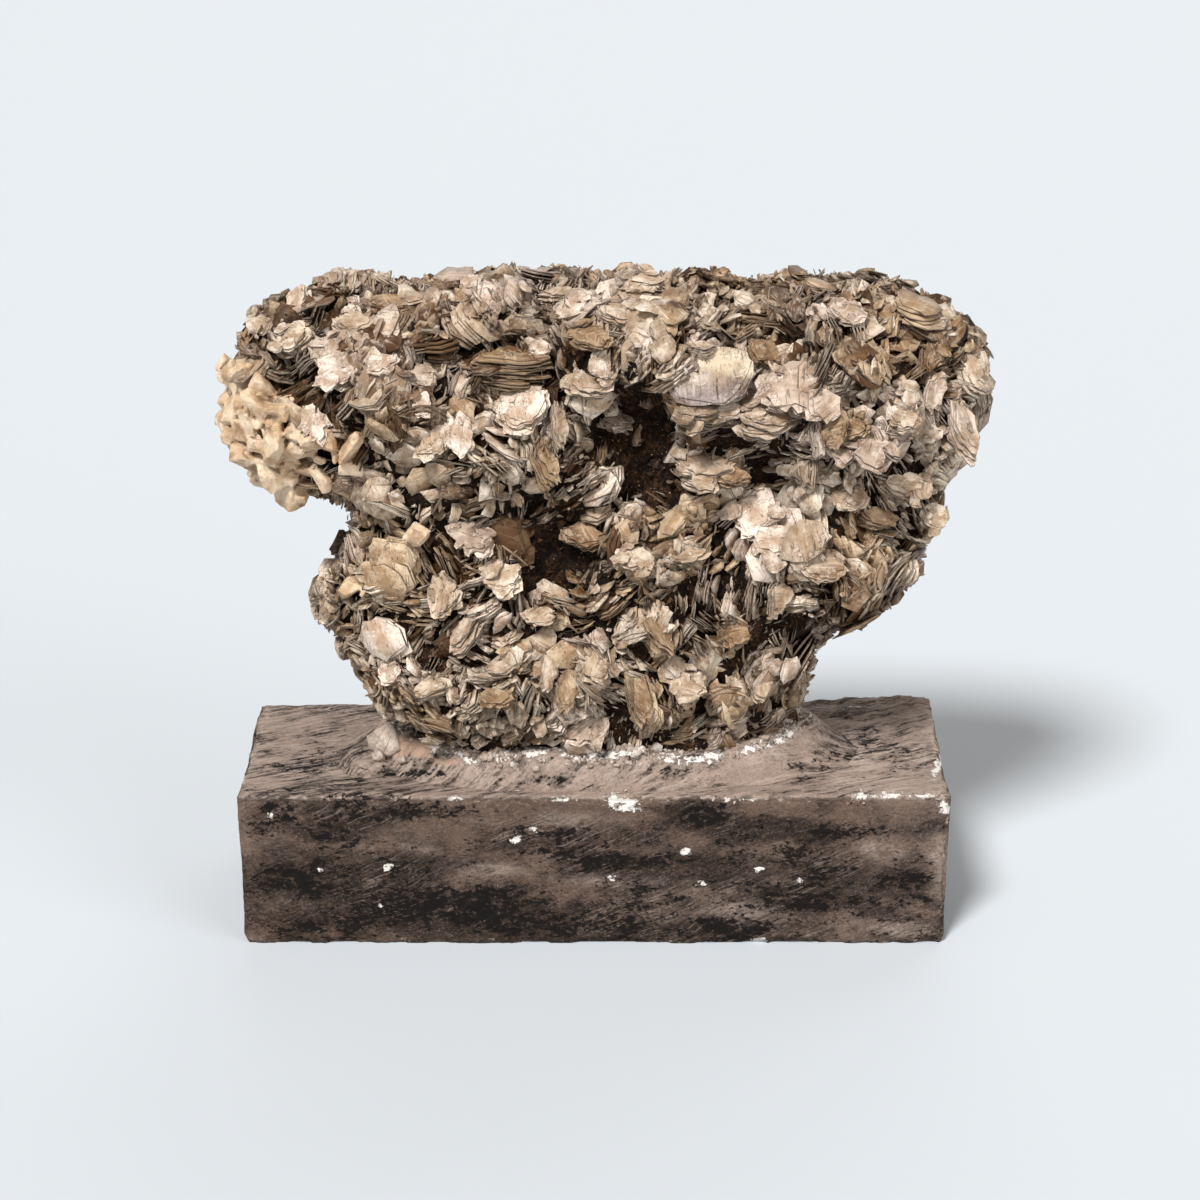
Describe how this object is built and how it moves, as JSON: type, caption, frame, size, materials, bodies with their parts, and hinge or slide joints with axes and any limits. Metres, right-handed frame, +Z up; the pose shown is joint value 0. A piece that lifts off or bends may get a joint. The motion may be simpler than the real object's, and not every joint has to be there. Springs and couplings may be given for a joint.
{
  "type": "mica crystal cluster on a plaster block",
  "caption": "Cluster of layered silvery-brown mica crystals with cream feldspar, its foot bedded in plaster on a dark painted rectangular display block.",
  "frame": {"origin": "middle of the block's flat underside", "axes": "+X along the block, towards the cluster's longer end; -Y towards the face that is shown; +Z up"},
  "size_m": [0.226, 0.0879, 0.1999],
  "materials": {
    "mica": "silvery beige to brown layered flakes with a pearly sheen, and cream feldspar",
    "bare_plaster": "matt trowelled plaster, stained brown, white where broken",
    "painted_plaster": "matt brushed dark taupe paint, worn to white plaster at the arrises"
  },
  "bodies": {
    "root": {"mica_cluster": "mica", "plaster_bedding": "bare_plaster", "plaster_block": "painted_plaster"}
  },
  "joints": []
}
